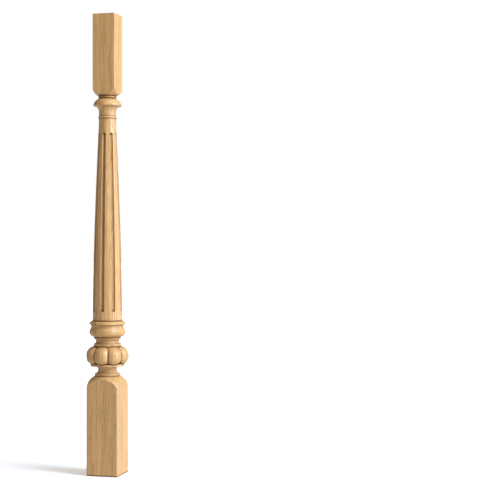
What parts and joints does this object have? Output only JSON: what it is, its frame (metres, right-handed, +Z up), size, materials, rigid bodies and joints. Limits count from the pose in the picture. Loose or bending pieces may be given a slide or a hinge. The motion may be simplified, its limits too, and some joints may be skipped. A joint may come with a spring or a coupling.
{
  "type": "wooden baluster",
  "caption": "Turned and carved oak stair baluster: square foot and head blocks, lobed bulb, moulded rings and a fluted tapering shaft.",
  "frame": {"origin": "centre of the foot block's underside", "axes": "+Z up along the turning axis; the faces of both square blocks are square to X and Y"},
  "size_m": [0.0958, 0.0958, 1],
  "materials": {
    "oak": "pale oak under a clear satin varnish"
  },
  "bodies": {
    "root": {"baluster": "oak"}
  },
  "joints": []
}
